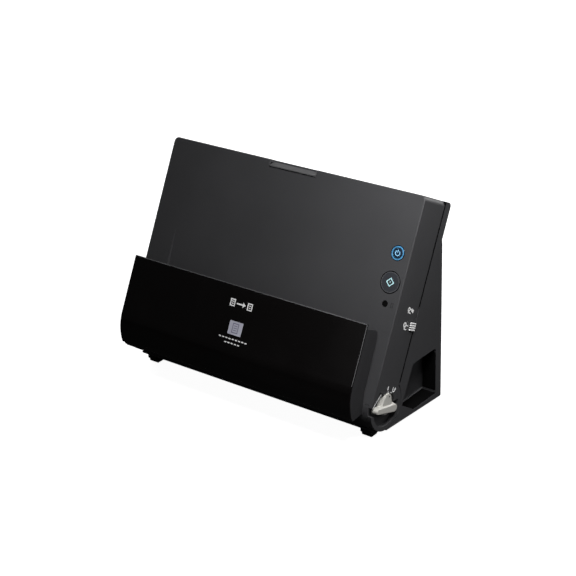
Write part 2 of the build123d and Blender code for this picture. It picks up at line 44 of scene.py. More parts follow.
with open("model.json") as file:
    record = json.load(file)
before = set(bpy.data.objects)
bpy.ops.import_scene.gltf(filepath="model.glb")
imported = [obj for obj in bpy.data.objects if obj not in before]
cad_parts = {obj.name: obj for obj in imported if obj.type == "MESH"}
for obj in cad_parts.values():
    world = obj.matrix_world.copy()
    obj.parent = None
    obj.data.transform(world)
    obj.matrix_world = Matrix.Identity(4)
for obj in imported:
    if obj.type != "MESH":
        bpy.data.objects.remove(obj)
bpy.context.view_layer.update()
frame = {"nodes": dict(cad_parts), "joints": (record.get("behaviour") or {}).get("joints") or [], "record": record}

# ---- the slab frame: x to the right, y through the leaning slab, z up along it ----
JOINTS = {joint["name"]: joint for joint in frame["joints"]}
HINGE = Vector(JOINTS["front_unit_open"]["pos_m"])
UP_SLAB = Vector(JOINTS["tray_slide"]["axis"])
LEAN = math.atan2(UP_SLAB.y, UP_SLAB.z)
SLAB = Matrix.Translation(HINGE) @ Matrix.Rotation(-LEAN, 4, "X")
MM = 0.001
SAME_POINT = 1e-7            # metres within which two points of a new piece are one
SAME_CAD_POINT = 2e-6        # the same for the loose triangles of a CAD node
FLAT_ENOUGH = math.radians(0.6)


def slab_box(node):
    """Lowest and highest corner of a CAD node in the slab frame."""
    inverse = SLAB.inverted()
    points = [inverse @ v.co for v in frame["nodes"][node].data.vertices]
    low = Vector([min(p[i] for p in points) for i in range(3)])
    high = Vector([max(p[i] for p in points) for i in range(3)])
    return low, high


# ================= shader node groups =================

def new_group(name, inputs, outputs):
    """A shader node group with float sockets. inputs maps a name to its default."""
    tree = bpy.data.node_groups.new(name, "ShaderNodeTree")
    for key, default in inputs.items():
        socket = tree.interface.new_socket(key, in_out="INPUT", socket_type="NodeSocketFloat")
        socket.default_value = default
    for key in outputs:
        tree.interface.new_socket(key, in_out="OUTPUT", socket_type="NodeSocketFloat")
    return tree, tree.nodes.new("NodeGroupInput"), tree.nodes.new("NodeGroupOutput")


def object_place(tree):
    """The piece's own coordinates."""
    return tree.nodes.new("ShaderNodeTexCoord").outputs["Object"]


def noise(tree, scale, detail, coordinates):
    """A noise texture whose scale is a number or another node's output."""
    node = tree.nodes.new("ShaderNodeTexNoise")
    node.inputs["Detail"].default_value = detail
    if isinstance(scale, (int, float)):
        node.inputs["Scale"].default_value = scale
    else:
        tree.links.new(scale, node.inputs["Scale"])
    tree.links.new(coordinates, node.inputs["Vector"])
    return node


def math_node(tree, operation, first, second):
    """The result of a sum on two values, each a number or an output."""
    node = tree.nodes.new("ShaderNodeMath")
    node.operation = operation
    for socket, value in zip(node.inputs, (first, second)):
        if isinstance(value, (int, float)):
            socket.default_value = value
        else:
            tree.links.new(value, socket)
    return node.outputs[0]


def ramp(tree, value, low, high, to_low=0.0, to_high=1.0):
    """A value moved from one range to another."""
    node = tree.nodes.new("ShaderNodeMapRange")
    node.inputs["From Min"].default_value = low
    node.inputs["From Max"].default_value = high
    node.inputs["To Min"].default_value = to_low
    node.inputs["To Max"].default_value = to_high
    tree.links.new(value, node.inputs["Value"])
    return node.outputs["Result"]


def build_grain_group():
    """Spark-eroded mould grain: fine pits over a slow drift of tone."""
    tree, source, sink = new_group("mould grain", {"Scale": 1500.0, "Drift": 9.0}, ("Height", "Tone"))
    place = object_place(tree)
    fine = noise(tree, source.outputs["Scale"], 3.0, place)
    cells = tree.nodes.new("ShaderNodeTexVoronoi")
    tree.links.new(place, cells.inputs["Vector"])
    tree.links.new(source.outputs["Scale"], cells.inputs["Scale"])
    slow = noise(tree, source.outputs["Drift"], 3.0, place)
    height = math_node(tree, "ADD", fine.outputs["Fac"], cells.outputs["Distance"])
    tree.links.new(height, sink.inputs["Height"])
    tree.links.new(ramp(tree, slow.outputs["Fac"], 0.3, 0.7), sink.inputs["Tone"])
    return tree


def build_dust_group():
    """Scattered dust specks and the faint haze of handling."""
    tree, source, sink = new_group("dust", {"Scale": 420.0, "Amount": 0.1}, ("Specks", "Haze"))
    place = object_place(tree)
    cells = tree.nodes.new("ShaderNodeTexVoronoi")
    tree.links.new(place, cells.inputs["Vector"])
    tree.links.new(source.outputs["Scale"], cells.inputs["Scale"])
    specks = math_node(tree, "LESS_THAN", cells.outputs["Distance"], source.outputs["Amount"])
    haze = noise(tree, 14.0, 5.0, place)
    tree.links.new(specks, sink.inputs["Specks"])
    tree.links.new(ramp(tree, haze.outputs["Fac"], 0.45, 0.75), sink.inputs["Haze"])
    return tree


def build_brush_group():
    """Fine lines that run along X, as drawn or ground steel has."""
    tree, source, sink = new_group("brushed lines", {"Scale": 900.0}, ("Lines",))
    place = object_place(tree)
    stretch = tree.nodes.new("ShaderNodeMapping")
    stretch.inputs["Scale"].default_value = (0.02, 1.0, 1.0)
    tree.links.new(place, stretch.inputs["Vector"])
    lines = noise(tree, source.outputs["Scale"], 2.0, stretch.outputs["Vector"])
    tree.links.new(lines.outputs["Fac"], sink.inputs["Lines"])
    return tree


GROUPS = {}


def shared_group(name):
    """A shared node group, built the first time it is asked for."""
    builders = {"grain": build_grain_group, "dust": build_dust_group, "brush": build_brush_group}
    if name not in GROUPS:
        GROUPS[name] = builders[name]()
    return GROUPS[name]


def use_group(tree, name, **values):
    """A shared group placed in a material with its own values."""
    node = tree.nodes.new("ShaderNodeGroup")
    node.node_tree = shared_group(name)
    for key, value in values.items():
        node.inputs[key].default_value = value
    return node


# ================= materials =================

def new_material(name):
    """A material with its node tree and its Principled BSDF."""
    material = bpy.data.materials.new(name)
    material.use_nodes = True
    tree = material.node_tree
    return material, tree, tree.nodes["Principled BSDF"]


def mix_colours(tree, factor, first, second):
    """Two colours mixed by a factor, each a plain colour or an output."""
    node = tree.nodes.new("ShaderNodeMix")
    node.data_type = "RGBA"
    tree.links.new(factor, node.inputs["Factor"])
    for key, colour in (("A", first), ("B", second)):
        socket = [s for s in node.inputs if s.name == key and s.type == "RGBA"][0]
        if hasattr(colour, "__len__"):
            socket.default_value = (*colour[:3], 1.0)
        else:
            tree.links.new(colour, socket)
    return [s for s in node.outputs if s.type == "RGBA"][0]


def bump(tree, height, strength, distance):
    """A bump normal from a height."""
    node = tree.nodes.new("ShaderNodeBump")
    node.inputs["Strength"].default_value = strength
    node.inputs["Distance"].default_value = distance
    tree.links.new(height, node.inputs["Height"])
    return node.outputs["Normal"]


def shade(colour, factor):
    """A colour made darker or lighter."""
    return tuple(min(1.0, c * factor) for c in colour[:3])


def add_specks(tree, tone, dust, amount, colour):
    """Lay the dust group's specks over a tone."""
    cover = math_node(tree, "MULTIPLY", dust.outputs["Specks"], amount)
    return mix_colours(tree, cover, tone, colour)


def vary_roughness(tree, bsdf, value, span, roughness):
    """Let a value that runs over a span move the roughness between two figures."""
    moved = ramp(tree, value, *span, *roughness)
    tree.links.new(moved, bsdf.inputs["Roughness"])


def moulded_plastic(name, colour, rough=0.5, grain=1500.0, depth=0.35, spread=0.12):
    """Matte injection-moulded plastic with a fine grain."""
    material, tree, bsdf = new_material(name)
    pits = use_group(tree, "grain", Scale=grain)
    dust = use_group(tree, "dust", Scale=260.0, Amount=0.045)
    tone = mix_colours(tree, pits.outputs["Tone"], shade(colour, 1 - spread), shade(colour, 1 + spread))
    tone = add_specks(tree, tone, dust, 0.10, (0.5, 0.5, 0.5))
    tree.links.new(tone, bsdf.inputs["Base Color"])
    vary_roughness(tree, bsdf, pits.outputs["Height"], (0.3, 1.2), (rough - 0.06, rough + 0.06))
    tree.links.new(bump(tree, pits.outputs["Height"], depth, 0.00008), bsdf.inputs["Normal"])
    return material


def polished_plastic(name, colour, rough):
    """High-gloss black plastic with a trace of haze and dust."""
    material, tree, bsdf = new_material(name)
    dust = use_group(tree, "dust", Scale=520.0, Amount=0.05)
    place = object_place(tree)
    peel = noise(tree, 260.0, 1.0, place)
    haze = math_node(tree, "MULTIPLY", dust.outputs["Haze"], 0.35)
    tone = mix_colours(tree, haze, colour, shade(colour, 1.9))
    tone = add_specks(tree, tone, dust, 0.03, (0.6, 0.6, 0.6))
    tree.links.new(tone, bsdf.inputs["Base Color"])
    vary_roughness(tree, bsdf, dust.outputs["Haze"], (0.0, 1.0), (rough, rough + 0.07))
    tree.links.new(bump(tree, peel.outputs["Fac"], 0.03, 0.0002), bsdf.inputs["Normal"])
    bsdf.inputs["Specular IOR Level"].default_value = 0.5
    return material


def soft_rubber(name, colour, rough=0.75):
    """Soft black or grey rubber with dust on it."""
    material, tree, bsdf = new_material(name)
    pits = use_group(tree, "grain", Scale=2600.0)
    dust = use_group(tree, "dust", Scale=300.0, Amount=0.07)
    tone = mix_colours(tree, pits.outputs["Tone"], shade(colour, 0.8), shade(colour, 1.25))
    tone = add_specks(tree, tone, dust, 0.25, (0.4, 0.4, 0.38))
    tree.links.new(tone, bsdf.inputs["Base Color"])
    vary_roughness(tree, bsdf, dust.outputs["Haze"], (0.0, 1.0), (rough - 0.1, rough + 0.1))
    tree.links.new(bump(tree, pits.outputs["Height"], 0.5, 0.0001), bsdf.inputs["Normal"])
    return material


def matte_black(name, colour):
    """Near-black matte with next to no sheen: black lenses, keys and the feed lever, and painted shade in gaps and
    the side windows.
    """
    material, tree, bsdf = new_material(name)
    pits = use_group(tree, "grain", Scale=2600.0)
    tone = mix_colours(tree, pits.outputs["Tone"], shade(colour, 0.7), shade(colour, 1.4))
    tree.links.new(tone, bsdf.inputs["Base Color"])
    tree.links.new(bump(tree, pits.outputs["Height"], 0.5, 0.0001), bsdf.inputs["Normal"])
    bsdf.inputs["Roughness"].default_value = 0.95
    bsdf.inputs["Specular IOR Level"].default_value = 0.04
    return material


def steel(name, colour, rough):
    """Ground or drawn steel with fine lines."""
    material, tree, bsdf = new_material(name)
    lines = use_group(tree, "brush", Scale=1400.0)
    tone = mix_colours(tree, lines.outputs["Lines"], shade(colour, 0.75), shade(colour, 1.2))
    tree.links.new(tone, bsdf.inputs["Base Color"])
    vary_roughness(tree, bsdf, lines.outputs["Lines"], (0.3, 0.7), (rough - 0.08, rough + 0.12))
    tree.links.new(bump(tree, lines.outputs["Lines"], 0.15, 0.00005), bsdf.inputs["Normal"])
    bsdf.inputs["Metallic"].default_value = 1.0
    return material


def circuit_lacquer(name, colour):
    """Green solder resist over a pattern of tracks."""
    material, tree, bsdf = new_material(name)
    place = object_place(tree)
    cells = tree.nodes.new("ShaderNodeTexVoronoi")
    cells.distance = "CHEBYCHEV"
    cells.inputs["Scale"].default_value = 240.0
    tree.links.new(place, cells.inputs["Vector"])
    tracks = math_node(tree, "LESS_THAN", cells.outputs["Distance"], 0.32)
    tone = mix_colours(tree, tracks, colour, shade(colour, 2.2))
    tree.links.new(tone, bsdf.inputs["Base Color"])
    tree.links.new(bump(tree, tracks, 0.3, 0.0001), bsdf.inputs["Normal"])
    bsdf.inputs["Roughness"].default_value = 0.3
    return material


def clear_glass(name, colour):
    """Clear glass with a haze of dust."""
    material, tree, bsdf = new_material(name)
    dust = use_group(tree, "dust", Scale=500.0, Amount=0.06)
    vary_roughness(tree, bsdf, dust.outputs["Haze"], (0.0, 1.0), (0.02, 0.09))
    bsdf.inputs["Base Color"].default_value = (*colour[:3], 1.0)
    bsdf.inputs["Transmission Weight"].default_value = 0.85
    bsdf.inputs["IOR"].default_value = 1.5
    return material


def lit_ring(name, colour, glow):
    """Translucent blue light guide that glows a little."""
    material, tree, bsdf = new_material(name)
    place = object_place(tree)
    clouds = noise(tree, 330.0, 2.0, place)
    tone = mix_colours(tree, clouds.outputs["Fac"], shade(colour, 0.6), shade(colour, 1.5))
    tree.links.new(tone, bsdf.inputs["Base Color"])
    tree.links.new(tone, bsdf.inputs["Emission Color"])
    bsdf.inputs["Emission Strength"].default_value = glow
    bsdf.inputs["Roughness"].default_value = 0.25
    return material


def printed_ink(name, colour, glow=0.0):
    """Pad-printed ink: slightly uneven cover on the grain below; a glow, where given, is painted light."""
    material, tree, bsdf = new_material(name)
    pits = use_group(tree, "grain", Scale=2200.0)
    tone = mix_colours(tree, pits.outputs["Tone"], shade(colour, 0.82), shade(colour, 1.05))
    tree.links.new(tone, bsdf.inputs["Base Color"])
    tree.links.new(bump(tree, pits.outputs["Height"], 0.2, 0.00005), bsdf.inputs["Normal"])
    bsdf.inputs["Roughness"].default_value = 0.55
    # painted light: the ink glows a little, brighter than the light that falls on it
    if glow:
        tree.links.new(tone, bsdf.inputs["Emission Color"])
        bsdf.inputs["Emission Strength"].default_value = glow
    return material


MATERIALS = {}


def material_for(slot):
    """The finish of one of the record's material slots, built on first use."""
    if slot in MATERIALS:
        return MATERIALS[slot]
    finish = bpy.context.scene.scanner_finish
    made = {
        "body_black": lambda: moulded_plastic(slot, finish.body, 0.46),
        "inner_black": lambda: moulded_plastic(slot, finish.inner, 0.55),
        "panel_gloss": lambda: polished_plastic(slot, finish.gloss, 0.15),
        "lever_grey": lambda: moulded_plastic(slot, finish.lever, 0.45, depth=0.2),
        "knob_grey": lambda: moulded_plastic(slot, finish.knob, 0.42, grain=1900.0, depth=0.2, spread=0.06),
        "chassis_steel": lambda: steel(slot, (0.55, 0.55, 0.56), 0.35),
        "shaft_steel": lambda: steel(slot, (0.62, 0.62, 0.63), 0.22),
        "motor_steel": lambda: steel(slot, (0.42, 0.42, 0.43), 0.4),
        "screw_steel": lambda: steel(slot, (0.08, 0.08, 0.085), 0.35),
        "port_metal": lambda: steel(slot, (0.7, 0.7, 0.7), 0.2),
        "bush_white": lambda: moulded_plastic(slot, (0.75, 0.75, 0.72), 0.4, spread=0.04),
        "pulley_white": lambda: moulded_plastic(slot, (0.70, 0.70, 0.66), 0.4, spread=0.04),
        "belt_rubber": lambda: soft_rubber(slot, (0.025, 0.025, 0.025)),
        "roller_rubber": lambda: soft_rubber(slot, (0.12, 0.12, 0.13), 0.6),
        "foot_rubber": lambda: soft_rubber(slot, (0.012, 0.012, 0.012)),
        "circuit_board": lambda: circuit_lacquer(slot, (0.02, 0.14, 0.05)),
        "sensor_glass": lambda: clear_glass(slot, (0.85, 0.9, 0.9)),
        "sensor_body": lambda: moulded_plastic(slot, (0.02, 0.02, 0.02), 0.6),
        "ring_blue": lambda: lit_ring(slot, finish.ring, 0.22),
        "key_black": lambda: moulded_plastic(slot, finish.key, 0.4, depth=0.15),
        "lens_dark": lambda: matte_black(slot, (0.003, 0.003, 0.003)),
        "key_navy": lambda: matte_black(slot, (0.010, 0.024, 0.052)),
        # trim_grey also makes the painted highlights on the panel's edges and the window beads; seal_black also
        # makes painted shade in the seam, the key gaps and the windows
        "trim_grey": lambda: moulded_plastic(slot, (0.14, 0.14, 0.145), 0.3, depth=0.1),
        "seal_black": lambda: matte_black(slot, (0.003, 0.003, 0.003)),
        # the white, ice and blue inks glow a little: painted light that lifts the marks
        "ink_white": lambda: printed_ink(slot, (0.82, 0.82, 0.82), 0.2),
        "ink_ice": lambda: printed_ink(slot, (0.42, 0.68, 0.72), 0.25),
        "ink_blue": lambda: printed_ink(slot, (0.25, 0.55, 0.80), 0.35),
        "ink_dark": lambda: printed_ink(slot, (0.02, 0.02, 0.022)),
        "badge_silver": lambda: printed_ink(slot, (0.60, 0.60, 0.70)),
        "badge_slate": lambda: printed_ink(slot, (0.22, 0.22, 0.32)),
    }
    MATERIALS[slot] = made[slot]()
    return MATERIALS[slot]


# ================= mesh helpers =================

CREASE = 32.0                # degrees past which an edge is shaded sharp


def finish_piece(bm, name, body, slot, replaced=(), smooth=True, place=None):
    """Make an object of a bmesh, in place, and let it ride on a body."""
    bmesh.ops.remove_doubles(bm, verts=bm.verts, dist=SAME_POINT)
    bmesh.ops.recalc_face_normals(bm, faces=bm.faces)
    if place is not None:
        bmesh.ops.transform(bm, matrix=place, verts=bm.verts)
    for face in bm.faces:
        face.smooth = smooth
    for edge in sharp_edges(bm, CREASE):
        edge.smooth = False
    mesh = bpy.data.meshes.new(name)
    bm.to_mesh(mesh)
    bm.free()
    piece = bpy.data.objects.new(name, mesh)
    bpy.context.scene.collection.objects.link(piece)
    mesh.materials.append(material_for(slot))
    piece.modifiers.new("even normals", "WEIGHTED_NORMAL").keep_sharp = True
    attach(piece, body)
    if replaced:
        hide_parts(*replaced)
    return piece


def add_box(bm, low, high):
    """A box between two corners; returns its vertices."""
    low, high = Vector(low), Vector(high)
    matrix = Matrix.Translation((low + high) / 2) @ Matrix.Diagonal((*(high - low), 1.0))
    return bmesh.ops.create_cube(bm, size=1.0, matrix=matrix)["verts"]


def round_edges(bm, edges, width, segments=3):
    """Bevel some edges to a radius."""
    bmesh.ops.bevel(bm, geom=edges, offset=width, offset_type="OFFSET", segments=segments, profile=0.5,
                    affect="EDGES", material=-1, clamp_overlap=True)


def copy_of(node):
    """The merged mesh of a CAD node with its flat faces whole again."""
    bm = bmesh.new()
    bm.from_mesh(frame["nodes"][node].data)
    bmesh.ops.remove_doubles(bm, verts=bm.verts, dist=SAME_CAD_POINT)
    bmesh.ops.dissolve_limit(bm, angle_limit=FLAT_ENOUGH, verts=bm.verts, edges=bm.edges)
    return bm


def sharp_edges(bm, degrees=40.0):
    """Edges between two faces that turn by more than an angle."""
    limit = math.radians(degrees)
    return [e for e in bm.edges if len(e.link_faces) == 2 and e.calc_face_angle(0.0) > limit]


# ---- flat shapes for printed marks, drawn in a plane's own u and v ----
ARC_STEP = math.radians(12.0)


def ink_box(bm, u, v, width, height, turn=0.0):
    """A rectangle round (u, v); returns its face."""
    place = Matrix.Translation((u, v, 0.0)) @ Matrix.Rotation(turn, 4, "Z")
    made = bmesh.ops.create_grid(bm, x_segments=1, y_segments=1, size=0.5,
                                 matrix=place @ Matrix.Diagonal((width, height, 1.0, 1.0)))
    return made["verts"][0].link_faces[0]


def ink_frame(bm, u, v, width, height, line, turn=0.0):
    """The outline of a rectangle: its face inset, and the middle taken out."""
    middle = [ink_box(bm, u, v, width, height, turn)]
    bmesh.ops.inset_region(bm, faces=middle, thickness=line, use_even_offset=True, use_boundary=True)
    bmesh.ops.delete(bm, geom=middle, context="FACES")


def ink_disc(bm, u, v, radius):
    """A filled disc round (u, v)."""
    bmesh.ops.create_circle(bm, cap_ends=True, segments=24, radius=radius,
                            matrix=Matrix.Translation((u, v, 0.0)))


def ink_band(bm, u, v, inner, outer, start, sweep):
    """Part of a ring round (u, v), from the start angle on by the sweep, in radians."""
    ray = Vector((math.cos(start), math.sin(start), 0.0))
    centre = Vector((u, v, 0.0))
    ends = [bm.verts.new(centre + ray * r) for r in (inner, outer)]
    edge = bm.edges.new(ends)
    bmesh.ops.spin(bm, geom=[*ends, edge], cent=centre, axis=(0.0, 0.0, 1.0), angle=sweep,
                   steps=max(2, round(abs(sweep) / ARC_STEP)), use_merge=False)


def ink_shape(bm, points):
    """A filled outline of (u, v) points."""
    bm.faces.new([bm.verts.new((u, v, 0.0)) for u, v in points])


def ink_arrow(bm, tail, head, line, wing):
    """A straight arrow between two points, with a head as wide as two wings."""
    tail, head = Vector((*tail, 0.0)), Vector((*head, 0.0))
    along = (head - tail).normalized()
    side = Vector((-along.y, along.x, 0.0))
    neck = head - along * wing * 1.4
    half = side * line / 2
    shaft = (tail - half, neck - half, neck + half, tail + half)
    point = (neck - side * wing, head, neck + side * wing)
    for outline in (shaft, point):
        ink_shape(bm, [(p.x, p.y) for p in outline])


def finish_ink(bm, name, body, slot, plane, height):
    """Raise the flat shapes to the ink's height and put them on their plane."""
    bmesh.ops.scale(bm, vec=(MM, MM, MM), verts=bm.verts)
    bmesh.ops.recalc_face_normals(bm, faces=bm.faces)
    for face in bm.faces:
        if face.normal.z < 0:
            face.normal_flip()
    raised = bmesh.ops.extrude_face_region(bm, geom=list(bm.faces))["geom"]
    verts = [item for item in raised if isinstance(item, bmesh.types.BMVert)]
    bmesh.ops.translate(bm, vec=(0.0, 0.0, height), verts=verts)
    return finish_piece(bm, name, body, slot, smooth=False, place=plane)


def front_plane(y):
    """The plane at slab depth y that faces forward: u to the right, v up the slab."""
    axes = Matrix(((1, 0, 0, 0), (0, 0, -1, y), (0, 1, 0, 0), (0, 0, 0, 1)))
    return SLAB @ axes


def cheek_plane(x):
    """The plane at x that faces right: u to the rear through the slab, v up it."""
    axes = Matrix(((0, 0, 1, x), (1, 0, 0, 0), (0, 1, 0, 0), (0, 0, 0, 1)))
    return SLAB @ axes


def add_capsule(bm, ends, x0, x1, taper):
    """A rounded bar along X whose outline is the hull of discs given as (y, z, radius)."""
    turn = Matrix.Rotation(math.radians(90.0), 4, "Y")
    verts = []
    for y, z, radius in ends:
        for x, size in ((x0, radius), (x1, radius * taper)):
            place = Matrix.Translation((x, y, z)) @ turn
            verts += bmesh.ops.create_circle(bm, segments=32, radius=size, matrix=place)["verts"]
    hull = bmesh.ops.convex_hull(bm, input=verts)
    loose = [item for item in hull["geom_interior"] if isinstance(item, bmesh.types.BMVert)]
    bmesh.ops.delete(bm, geom=loose, context="VERTS")


# ================= property groups =================

def colour_property(name, description, default):
    """A colour for a property group."""
    return FloatVectorProperty(name=name, description=description, subtype="COLOR", size=3,
                               min=0.0, max=1.0, default=default)


class ScannerFinish(bpy.types.PropertyGroup):
    """Colours of the finishes"""
    body: colour_property("Body", "Matte outer shells", (0.050, 0.050, 0.053))
    inner: colour_property("Inner", "Guides, pocket and tray", (0.026, 0.026, 0.028))
    gloss: colour_property("Gloss", "Polished eject panel", (0.0035, 0.003, 0.003))
    lever: colour_property("Levers", "Open lever", (0.105, 0.105, 0.108))
    knob: colour_property("Knob", "Selector knob", (0.58, 0.57, 0.53))
    ring: colour_property("Ring", "Light guide round the power key", (0.050, 0.185, 0.345))
    key: colour_property("Keys", "Power and start keys", (0.030, 0.032, 0.038))


class ScannerSizes(bpy.types.PropertyGroup):
    """Edge radii and the height of the ink"""
    shell_edge: FloatProperty(name="Shell edge", description="Radius on the edges of the shells",
                              default=0.45 * MM, unit="LENGTH")
    small_edge: FloatProperty(name="Small edge", description="Radius on the edges of small pieces",
                              default=0.25 * MM, unit="LENGTH")
    ink_height: FloatProperty(name="Ink height", description="How far printed marks stand out",
                              default=0.06 * MM, unit="LENGTH")


class ScannerStage(bpy.types.PropertyGroup):
    """Camera and floor"""
    azimuth: FloatProperty(name="Azimuth", description="Camera turn to the right of the front",
                           default=math.radians(38.21), subtype="ANGLE")
    elevation: FloatProperty(name="Elevation", description="Camera height angle",
                             default=math.radians(24.98), subtype="ANGLE")
    roll: FloatProperty(name="Roll", description="Camera roll", default=math.radians(-1.93), subtype="ANGLE")
    distance: FloatProperty(name="Distance", description="Camera to target", default=1.5261, unit="LENGTH")
    lens: FloatProperty(name="Lens", description="Focal length in millimetres", default=98.82)
    target: FloatVectorProperty(name="Target", description="Point that the camera looks at",
                                default=(0.01484, 0.0, 0.10679), unit="LENGTH")
    floor: colour_property("Floor", "Pale studio floor", (0.86, 0.86, 0.87))


# ================= operators =================

NODE_SLOTS = {part["node"]: part["material_slot"] for part in frame["record"]["subparts"]}
BODIES = frame["record"]["behaviour"]["bodies"]
NODE_BODIES = {node: body for body, nodes in BODIES.items() for node in nodes}
# nodes kept in shape, whose edges are rounded on a merged copy: the outer shells and the smaller trim
SHELLS = ("front_cover", "right_side_cover", "left_side_cover", "rear_cover", "rear_slab_cover",
          "lower_cover")
TRIM = ("eject_tray", "open_lever", "base_pan", "feed_tray", "tray_extension", "left_guide",
        "right_guide", "front_inner_guide", "path_plate", "bay_roof", "rear_feet", "selector_flap",
        "turn_guide", "latch_bar", "power_button", "start_button", "status_lens", "cover_screws",
        "usb_port", "power_jack")


class SCANNER_OT_carried_finish(bpy.types.Operator):
    """Give every carried-over CAD node its own finish"""
    bl_idname = "scanner.carried_finish"
    bl_label = "Carried-over Finish"

    def execute(self, context):
        for part in frame["record"]["subparts"]:
            node = frame["nodes"][part["node"]]
            node.data.materials.clear()
            node.data.materials.append(material_for(part["material_slot"]))
        return {"FINISHED"}


class SCANNER_OT_shells(bpy.types.Operator):
    """Round the edges of the outer shells on merged copies of their CAD nodes"""
    bl_idname = "scanner.shells"
    bl_label = "Outer Shells"

    def execute(self, context):
        sizes = context.scene.scanner_sizes
        for names, width in ((SHELLS, sizes.shell_edge), (TRIM, sizes.small_edge)):
            for node in names:
                bm = copy_of(node)
                round_edges(bm, sharp_edges(bm), width, 2)
                finish_piece(bm, node + "_shell", NODE_BODIES[node], NODE_SLOTS[node], (node,))
        return {"FINISHED"}


class SCANNER_OT_gloss_panel(bpy.types.Operator):
    """Model the polished eject panel with its turned-under lower edge"""
    bl_idname = "scanner.gloss_panel"
    bl_label = "Gloss Panel"

    def execute(self, context):
        low, high = slab_box("eject_panel")
        thick = 2.0 * MM
        bend_radius = 45.0 * MM
        bend_height = 13.9 * MM
        bend = Vector((0.0, low.y + bend_radius, bend_height))
        bm = bmesh.new()
        add_box(bm, (low.x, low.y, bend_height), (high.x, low.y + thick, high.z))
        bm.normal_update()
        lower = [f for f in bm.faces if f.normal.z < -0.9]
        outline = {*lower, *lower[0].edges, *lower[0].verts}
        bmesh.ops.spin(bm, geom=list(outline), cent=bend, axis=(1.0, 0.0, 0.0),
                       angle=math.radians(43.0), steps=24, use_merge=False)
        bmesh.ops.delete(bm, geom=[f for f in lower if f.is_valid], context="FACES_ONLY")
        bmesh.ops.remove_doubles(bm, verts=bm.verts, dist=SAME_POINT)
        round_edges(bm, sharp_edges(bm, 35.0), 0.45 * MM)
        finish_piece(bm, "gloss_panel", "front_unit", "panel_gloss", ("eject_panel",), place=SLAB)
        return {"FINISHED"}


class SCANNER_OT_selector(bpy.types.Operator):
    """Model the selector knob as one moulded shape: round base, pointer and finger bar"""
    bl_idname = "scanner.selector"
    bl_label = "Selector Knob"

    def execute(self, context):
        low, high = slab_box("selector_knob")
        base, top = low.x + 0.1 * MM, high.x
        pointer_top = top - 1.5 * MM
        disc = [(0.0, 0.0, 9.2 * MM), (0.3 * MM, 0.0, 9.2 * MM)]
        pointer = [(-0.4 * MM, 0.0, 8.6 * MM), (-1.9 * MM, 6.0 * MM, 6.6 * MM)]
        finger_bar = [(-14.9 * MM, -5.7 * MM, 3.3 * MM), (12.2 * MM, -0.6 * MM, 4.9 * MM)]
        bm = bmesh.new()
        add_capsule(bm, disc, base, base + 4.6 * MM, 0.96)
        add_capsule(bm, pointer, base, pointer_top, 0.95)
        add_capsule(bm, finger_bar, base + 1.2 * MM, top - 0.1 * MM, 0.74)
        piece = finish_piece(bm, "selector_knob_moulding", "selector", "knob_grey", ("selector_knob",),
                             place=SLAB)
        skin = piece.modifiers.new("one skin", "REMESH")
        skin.mode = "VOXEL"
        skin.voxel_size = 0.32 * MM
        skin.use_smooth_shade = True
        ease = piece.modifiers.new("moulded radii", "SMOOTH")
        ease.factor = 0.5
        ease.iterations = 4
        bm = bmesh.new()
        ink_disc(bm, -0.4, 9.6, 0.75)
        finish_ink(bm, "selector_dot", "selector", "ink_dark", cheek_plane(pointer_top), 0.2 * MM)
        return {"FINISHED"}


class SCANNER_OT_feed_lever(bpy.types.Operator):
    """Model the feed lever: a dark pad with light ribs"""
    bl_idname = "scanner.feed_lever"
    bl_label = "Feed Lever"

    def execute(self, context):
        low, high = slab_box("feed_lever")
        bm = copy_of("feed_lever")
        round_edges(bm, sharp_edges(bm), 0.12 * MM, 2)
        finish_piece(bm, "feed_lever_moulding", "lever", "seal_black", ("feed_lever",))
        middle = (low.z + high.z) / 2
        rib_step = 2.1 * MM
        rib_half = 0.65 * MM
        bm = bmesh.new()
        for k in range(4):
            z = middle + (k - 1.5) * rib_step
            add_box(bm, (high.x - 1.4 * MM, 4.9 * MM, z - rib_half),
                    (high.x + 0.06 * MM, 13.65 * MM, z + rib_half))
        round_edges(bm, list(bm.edges), 0.2 * MM, 2)
        finish_piece(bm, "feed_lever_ribs", "lever", "ink_white", place=SLAB)
        return {"FINISHED"}


class SCANNER_OT_seam(bpy.types.Operator):
    """Fill the joint between the front unit and the base with black strips: painted shade of the gap, reaching a
    little over the right side cover's edge.
    """
    bl_idname = "scanner.seam"
    bl_label = "Seam Painted Shade"

    def execute(self, context):
        top = slab_box("rear_slab_cover")[1].z
        runs = ((23.0 * MM, 71.5 * MM), (95.5 * MM, top - 0.4 * MM))
        # painted shade: black strips in the seam where its shadow falls
        bm = bmesh.new()
        for inner, outer in ((-149.91 * MM, -146.0 * MM), (146.0 * MM, 150.03 * MM)):
            for z0, z1 in runs:
                add_box(bm, (inner, 12.95 * MM, z0), (outer, 14.95 * MM, z1))
        finish_piece(bm, "seam_painted_shade", "base", "seal_black", smooth=False, place=SLAB)
        return {"FINISHED"}


